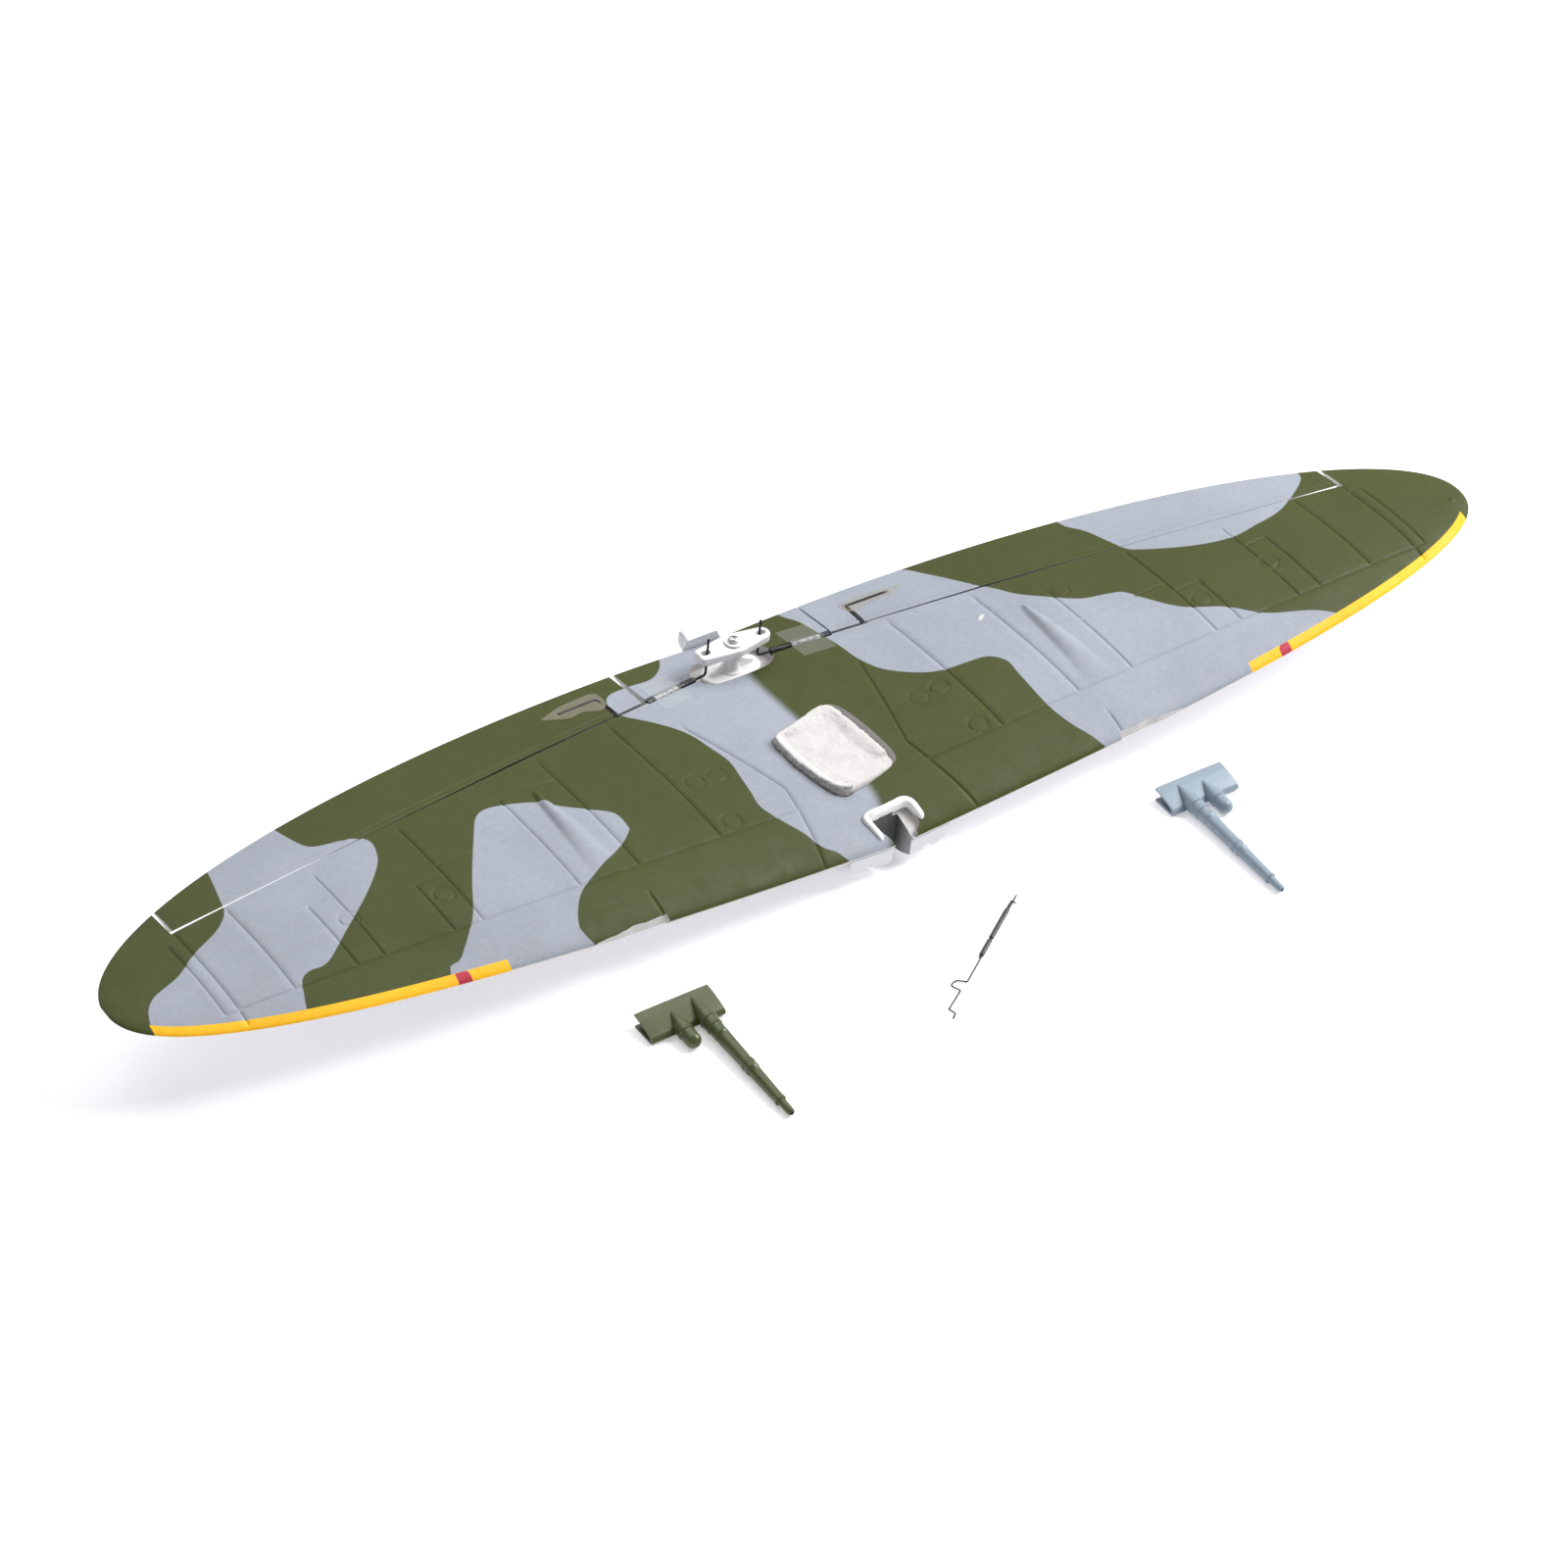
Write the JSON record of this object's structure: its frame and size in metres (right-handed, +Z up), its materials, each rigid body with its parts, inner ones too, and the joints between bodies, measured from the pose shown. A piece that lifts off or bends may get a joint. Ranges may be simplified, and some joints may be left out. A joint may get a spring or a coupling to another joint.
{
  "type": "model aeroplane wing set",
  "caption": "One-piece elliptical foam wing with ailerons on torque rods, a bellcrank linkage, and loose cannon fairings and pushrod laid in front.",
  "frame": {"origin": "middle of the bounding box's footprint, on the plane that the belly fairing stands on", "axes": "+X towards the aeroplane's left wing tip, -Y towards its nose, +Z up"},
  "size_m": [0.4098, 0.1502, 0.0237],
  "materials": {
    "painted_foam": "matt camouflage paint on smooth moulded foam",
    "bare_foam": "bare cut foam, rough cells",
    "belly_foam": "light grey painted foam",
    "white_plastic": "moulded plastic, satin",
    "screw_steel": "small plated screw",
    "black_wire": "blackened music wire",
    "pushrod_wire": "bare music wire",
    "bearing_tube": "translucent nylon tube",
    "shrink_sleeve": "black heat-shrink",
    "clear_tape": "clear adhesive tape",
    "carbon_strip": "pultruded carbon strip",
    "cannon_green": "thin vacuum-formed plastic, semi gloss",
    "cannon_grey": "thin vacuum-formed plastic, semi gloss"
  },
  "bodies": {
    "wing": {"wing_core": "painted_foam", "belly_fairing": "belly_foam", "saddle_pad": "bare_foam", "nose_key_rim": "white_plastic", "bellcrank_carrier": "white_plastic", "pivot_screw": "screw_steel", "pivot_washer": "white_plastic", "left_bearing_tube": "bearing_tube", "left_bearing_tape": "clear_tape", "left_spar_strip": "carbon_strip", "right_bearing_tube": "bearing_tube", "right_bearing_tape": "clear_tape", "right_spar_strip": "carbon_strip"},
    "bellcrank": {"bellcrank_arm": "white_plastic"},
    "left_aileron": {"left_aileron": "painted_foam", "left_torque_rod": "black_wire", "left_inner_sleeve": "shrink_sleeve", "left_outer_sleeve": "shrink_sleeve"},
    "right_aileron": {"right_aileron": "painted_foam", "right_torque_rod": "black_wire", "right_inner_sleeve": "shrink_sleeve", "right_outer_sleeve": "shrink_sleeve"},
    "left_cannon": {"left_cannon_fairing": "cannon_grey"},
    "right_cannon": {"right_cannon_fairing": "cannon_green"},
    "pushrod": {"pushrod_loop_wire": "pushrod_wire", "pushrod_hook_wire": "pushrod_wire", "pushrod_front_sleeve": "shrink_sleeve", "pushrod_rear_sleeve": "shrink_sleeve"}
  },
  "joints": [
    {"name": "bellcrank_pivot", "type": "hinge", "parent": "wing", "child": "bellcrank", "pos_m": [0, 0.0575, 0.017], "axis": [0, 0, 1], "range_deg": [-12, 12]},
    {"name": "left_aileron_hinge", "type": "hinge", "parent": "wing", "child": "left_aileron", "pos_m": [0.008, 0.0575, 0.0119], "axis": [0.9858, -0.1578, 0.0572], "range_deg": [-16, 16]},
    {"name": "right_aileron_hinge", "type": "hinge", "parent": "wing", "child": "right_aileron", "pos_m": [-0.008, 0.0575, 0.0119], "axis": [0.9858, 0.1578, -0.0572], "range_deg": [-16, 16]},
    {"name": "left_cannon_lift", "type": "slide", "parent": "wing", "child": "left_cannon", "axis": [0, 0, 1], "range_m": [0, 0.05]},
    {"name": "right_cannon_lift", "type": "slide", "parent": "wing", "child": "right_cannon", "axis": [0, 0, 1], "range_m": [0, 0.05]},
    {"name": "pushrod_lift", "type": "slide", "parent": "wing", "child": "pushrod", "axis": [0, 0, 1], "range_m": [0, 0.05]}
  ],
  "couplings": [
    {"joint": "left_aileron_hinge", "follows": "bellcrank_pivot", "ratio": -1.3},
    {"joint": "right_aileron_hinge", "follows": "bellcrank_pivot", "ratio": 1.3}
  ]
}
